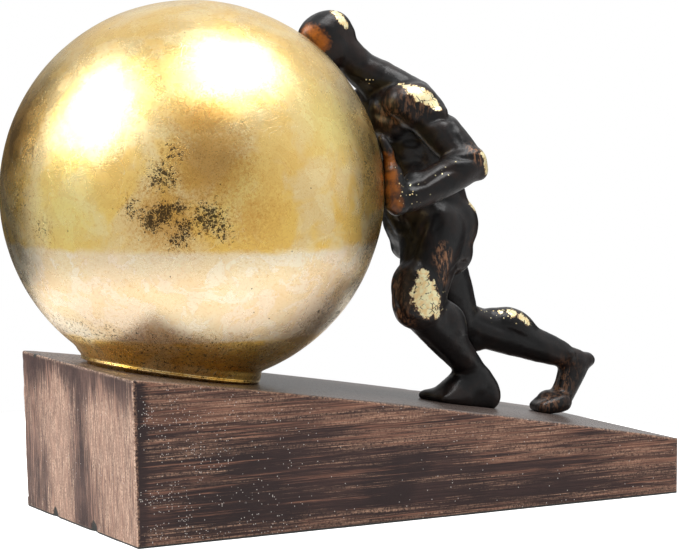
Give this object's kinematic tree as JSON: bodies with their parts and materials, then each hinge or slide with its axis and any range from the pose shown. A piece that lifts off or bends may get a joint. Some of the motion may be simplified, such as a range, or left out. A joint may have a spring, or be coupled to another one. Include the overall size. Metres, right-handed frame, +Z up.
{
  "type": "sisyphus statue",
  "caption": "Desk statue of a bronze man leaning head and hands on a gilt ball that he pushes up a painted wooden ramp.",
  "frame": {"origin": "middle of the ramp's flat underside", "axes": "+X down the ramp from its tall end to its low end, +Z up, the man's left side at -Y"},
  "size_m": [0.2904, 0.16, 0.2157],
  "materials": {
    "painted_wood": "dark purple-brown paint, dry-brushed and rubbed through at the edges, satin",
    "gold_leaf": "satin gold leaf with fine wrinkles, pits and dark rubbed patches",
    "dark_bronze": "near-black semi-gloss patina with brown rub-through and ragged gold-leaf patches"
  },
  "bodies": {
    "root": {"ramp": "painted_wood", "ball": "gold_leaf", "figure": "dark_bronze"}
  },
  "joints": []
}
